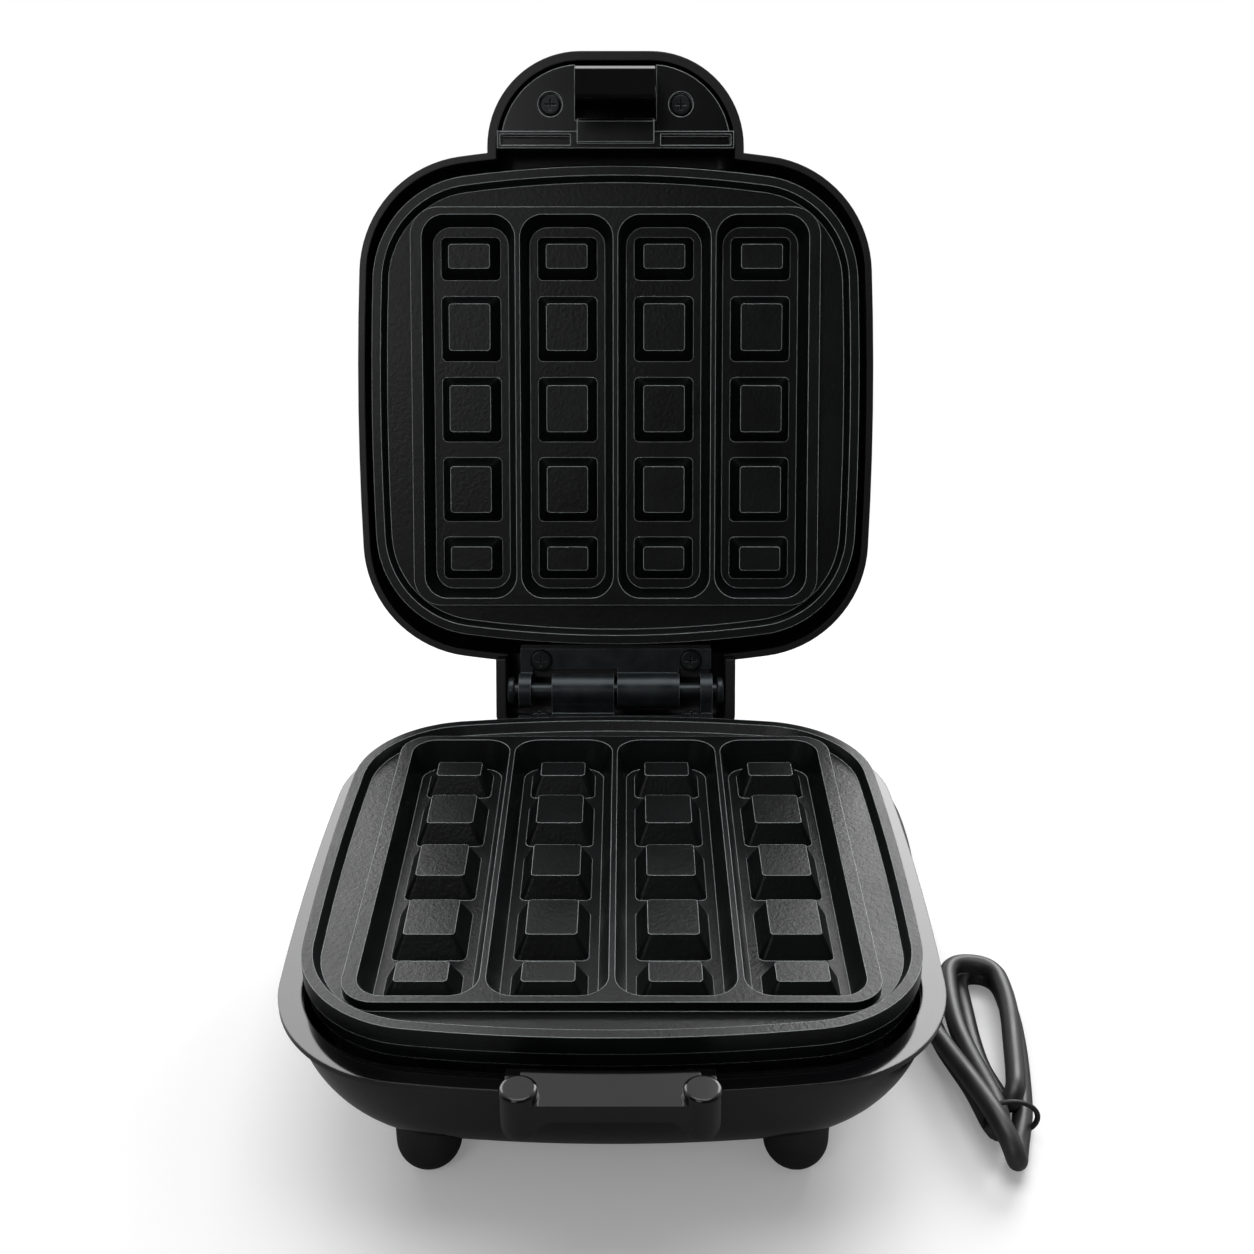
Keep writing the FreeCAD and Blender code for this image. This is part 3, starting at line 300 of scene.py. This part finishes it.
def applyPlace(piece):
    deselectAll()
    piece.select_set(True)
    bpy.context.view_layer.objects.active = piece
    bpy.ops.object.transform_apply(location=True, rotation=True, scale=True)


def addFlexCord(settings):
    points = settings["lead"] + settings["hank"] + settings["tail"]
    curve = bpy.data.curves.new("flexCord", "CURVE")
    curve.dimensions = "3D"
    curve.bevel_depth = settings["diameter"] / 2
    curve.bevel_resolution = settings["sectionSteps"]
    curve.use_fill_caps = True
    spline = curve.splines.new("NURBS")
    spline.points.add(len(points) - 1)
    for point, place in zip(spline.points, points):
        point.co = (*place, 1.0)
    spline.order_u = 3
    spline.use_endpoint_u = True
    spline.resolution_u = settings["lengthSteps"]
    cord = bpy.data.objects.new("flexCord", curve)
    bpy.context.scene.collection.objects.link(cord)
    finishPiece(cord, "cord_pvc", "base", ["cord_lead", "cord_hank", "cord_tail"])
    return cord


flexCordPiece = addFlexCord(flexCord)

rubberTie = {
    "middle": (0.0929, -0.0820, 0.0058),
    "halfWidth": 0.0064,
    "halfHeight": 0.0050,
    "thickness": 0.0013,
    "ringSteps": 64,
    "sectionSteps": 12,
}


def addRubberTie(settings):
    deselectAll()
    bpy.ops.mesh.primitive_torus_add(
        major_segments=settings["ringSteps"], minor_segments=settings["sectionSteps"],
        major_radius=settings["halfWidth"], minor_radius=settings["thickness"] / 2,
        location=settings["middle"], rotation=(math.radians(90), 0, 0))
    tie = bpy.context.object
    tie.name = "rubberTie"
    tie.scale = (1, settings["halfHeight"] / settings["halfWidth"], 1)
    applyPlace(tie)
    bpy.ops.object.shade_smooth()
    finishPiece(tie, "tie_rubber", "base", ["cord_tie"])
    return tie


rubberTiePiece = addRubberTie(rubberTie)
plugGrip = {
    "low": (-0.0510, 0.05385, 0.0),
    "high": (-0.0200, 0.07785, 0.0160),
    "cornerRadius": 0.0024,
    "cornerSteps": 5,
    "grooveStarts": (-0.0450, -0.0415, -0.0380, -0.0345),
    "grooveWidth": 0.0018,
    "grooveDepth": 0.0007,
    "grooveSlope": 0.0003,
    "neckFrom": -0.0290,
    "neckMargin": 0.0005,
    "neckShare": (1.0, 0.66, 0.80),
}


def addPlugGrip(settings):
    low, high = Vector(settings["low"]), Vector(settings["high"])
    middle = (low + high) / 2
    deselectAll()
    bpy.ops.mesh.primitive_cube_add(size=1, location=middle, scale=high - low)
    grip = bpy.context.object
    grip.name = "plugGrip"
    applyPlace(grip)
    rounding = grip.modifiers.new("rounding", "BEVEL")
    rounding.width = settings["cornerRadius"]
    rounding.segments = settings["cornerSteps"]
    bpy.ops.object.modifier_apply(modifier=rounding.name)
    # rings across the body, two for each finger groove and one where the neck starts
    rings = [start + step for start in settings["grooveStarts"] for step in (0, settings["grooveWidth"])]
    bpy.ops.object.mode_set(mode="EDIT")
    for ring in rings + [settings["neckFrom"]]:
        bpy.ops.mesh.select_all(action="SELECT")
        bpy.ops.mesh.bisect(plane_co=(ring, 0, 0), plane_no=(1, 0, 0))
    bpy.ops.mesh.select_mode(type="FACE")
    bpy.ops.mesh.select_all(action="DESELECT")
    bpy.ops.object.mode_set(mode="OBJECT")
    for face in grip.data.polygons:
        inGroove = any(start < face.center.x < start + settings["grooveWidth"]
                       for start in settings["grooveStarts"])
        facesSideways = abs(face.normal.y) > 0.99
        face.select = inGroove and facesSideways
    bpy.ops.object.mode_set(mode="EDIT")
    bpy.ops.mesh.inset(thickness=settings["grooveSlope"], depth=-settings["grooveDepth"])
    bpy.ops.mesh.select_mode(type="VERT")
    bpy.ops.mesh.select_all(action="DESELECT")
    bpy.ops.object.mode_set(mode="OBJECT")
    # only the end towards the cord is drawn in, so the body tapers to it
    for corner in grip.data.vertices:
        corner.select = corner.co.x > settings["neckFrom"] + settings["neckMargin"]
    bpy.ops.object.mode_set(mode="EDIT")
    bpy.ops.transform.resize(value=settings["neckShare"], center_override=middle)
    bpy.ops.object.mode_set(mode="OBJECT")
    bpy.ops.object.shade_smooth_by_angle(angle=math.radians(30))
    finishPiece(grip, slotOf["plug_body"], "base", ["plug_body"])
    return grip


plugGripPiece = addPlugGrip(plugGrip)
print("cord, tie and plug placed")

studio = {
    "floorSize": 8.0,
    "floorHeight": -0.0002,
    "floorColour": "#f2f2f2",
    "floorGlow": 0.16,
    "fadeFrom": 0.13,
    "fadeTo": 0.34,
    "glossFloor": "#8a8a8a",
    "roomGrey": 0.32,
    "frontGloss": 0.06,
    "backGloss": 0.95,
}


def addFloor(settings):
    deselectAll()
    bpy.ops.mesh.primitive_plane_add(size=settings["floorSize"], location=(0, 0, settings["floorHeight"]))
    floor = bpy.context.object
    floor.name = "floor"
    material = bpy.data.materials.new("paleStudioPaper")
    material.use_nodes = True
    tree = material.node_tree
    shader = tree.nodes["Principled BSDF"]
    shader.inputs["Base Color"].default_value = linearColour(settings["floorColour"])
    shader.inputs["Roughness"].default_value = 0.9
    shader.inputs["Specular IOR Level"].default_value = 0.0
    shader.inputs["Emission Color"].default_value = (1, 1, 1, 1)
    rays = addNode(tree, "ShaderNodeLightPath")
    glow = addNode(tree, "ShaderNodeMath", {0: rays.outputs["Is Camera Ray"], 1: settings["floorGlow"]},
                   operation="MULTIPLY")
    tree.links.new(glow.outputs[0], shader.inputs["Emission Strength"])
    # away from the object the camera sees plain white paper, and reflections see a darker floor
    reach = addNode(tree, "ShaderNodeVectorMath", {0: addNode(tree, "ShaderNodeTexCoord").outputs["Object"]},
                    operation="LENGTH")
    fade = addNode(tree, "ShaderNodeMapRange", {"Value": reach.outputs["Value"], "From Min": settings["fadeFrom"],
                                                "From Max": settings["fadeTo"]}, interpolation_type="SMOOTHSTEP")
    white = addNode(tree, "ShaderNodeEmission", {"Color": (1, 1, 1, 1), "Strength": 1.0})
    direct = addNode(tree, "ShaderNodeMath", {0: rays.outputs["Is Camera Ray"],
                                              1: rays.outputs["Is Transmission Ray"]}, operation="MAXIMUM")
    share = addNode(tree, "ShaderNodeMath", {0: fade.outputs["Result"], 1: direct.outputs[0]},
                    operation="MULTIPLY")
    seen = addNode(tree, "ShaderNodeMixShader", {0: share.outputs[0], 1: shader.outputs[0],
                                                 2: white.outputs[0]})
    greyFloor = addNode(tree, "ShaderNodeBsdfDiffuse", {"Color": linearColour(settings["glossFloor"])})
    gloss = addNode(tree, "ShaderNodeMixShader", {0: rays.outputs["Is Glossy Ray"], 1: seen.outputs[0],
                                                  2: greyFloor.outputs[0]})
    tree.links.new(gloss.outputs[0], tree.nodes["Material Output"].inputs["Surface"])
    floor.data.materials.append(material)


def addRoom(settings):
    world = bpy.data.worlds.new("studioRoom")
    bpy.context.scene.world = world
    world.use_nodes = True
    tree = world.node_tree
    tree.nodes.clear()
    rays = addNode(tree, "ShaderNodeLightPath")
    direct = addNode(tree, "ShaderNodeMath", {0: rays.outputs["Is Camera Ray"],
                                              1: rays.outputs["Is Transmission Ray"]}, operation="MAXIMUM")
    # reflections see white paper behind the object and a darker room in front of it
    way = addNode(tree, "ShaderNodeSeparateXYZ", {0: addNode(tree, "ShaderNodeTexCoord").outputs["Generated"]})
    behind = addNode(tree, "ShaderNodeMapRange", {"Value": way.outputs["Y"], "From Min": -0.2, "From Max": 0.5,
                                                  "To Min": settings["frontGloss"],
                                                  "To Max": settings["backGloss"]})
    glossy = addNode(tree, "ShaderNodeMix", {0: rays.outputs["Is Glossy Ray"], 2: settings["roomGrey"],
                                             3: behind.outputs["Result"]}, data_type="FLOAT")
    strength = addNode(tree, "ShaderNodeMix", {0: direct.outputs[0], 2: glossy.outputs[0], 3: 1.0},
                       data_type="FLOAT")
    background = addNode(tree, "ShaderNodeBackground", {"Color": (1, 1, 1, 1), "Strength": strength.outputs[0]})
    output = addNode(tree, "ShaderNodeOutputWorld")
    tree.links.new(background.outputs[0], output.inputs["Surface"])


lamps = [
    {"name": "overheadSoftbox", "place": (0.0, 0.05, 1.3), "aim": (0, 0, 0.08), "size": 0.9, "power": 7.0},
    {"name": "frontSoftbox", "place": (-0.5, -1.2, 0.95), "aim": (0, 0, 0.1), "size": 0.6, "power": 2.8},
    {"name": "backRightSoftbox", "place": (0.55, 1.05, 0.85), "aim": (0, 0, 0.08), "size": 0.75, "power": 12.5},
    {"name": "backLeftSoftbox", "place": (-0.6, 1.05, 0.85), "aim": (0, 0, 0.08), "size": 0.75, "power": 8.5},
]


def addLamps(settings):
    for lamp in settings:
        light = bpy.data.lights.new(lamp["name"], "AREA")
        light.shape = "SQUARE"
        light.size = lamp["size"]
        light.energy = lamp["power"]
        holder = bpy.data.objects.new(lamp["name"], light)
        holder.location = lamp["place"]
        holder.rotation_euler = (Vector(lamp["aim"]) - Vector(lamp["place"])).to_track_quat("-Z", "Y").to_euler()
        bpy.context.scene.collection.objects.link(holder)


addFloor(studio)
addRoom(studio)
addLamps(lamps)
bpy.context.scene.view_settings.view_transform = "Standard"
print("studio lit")
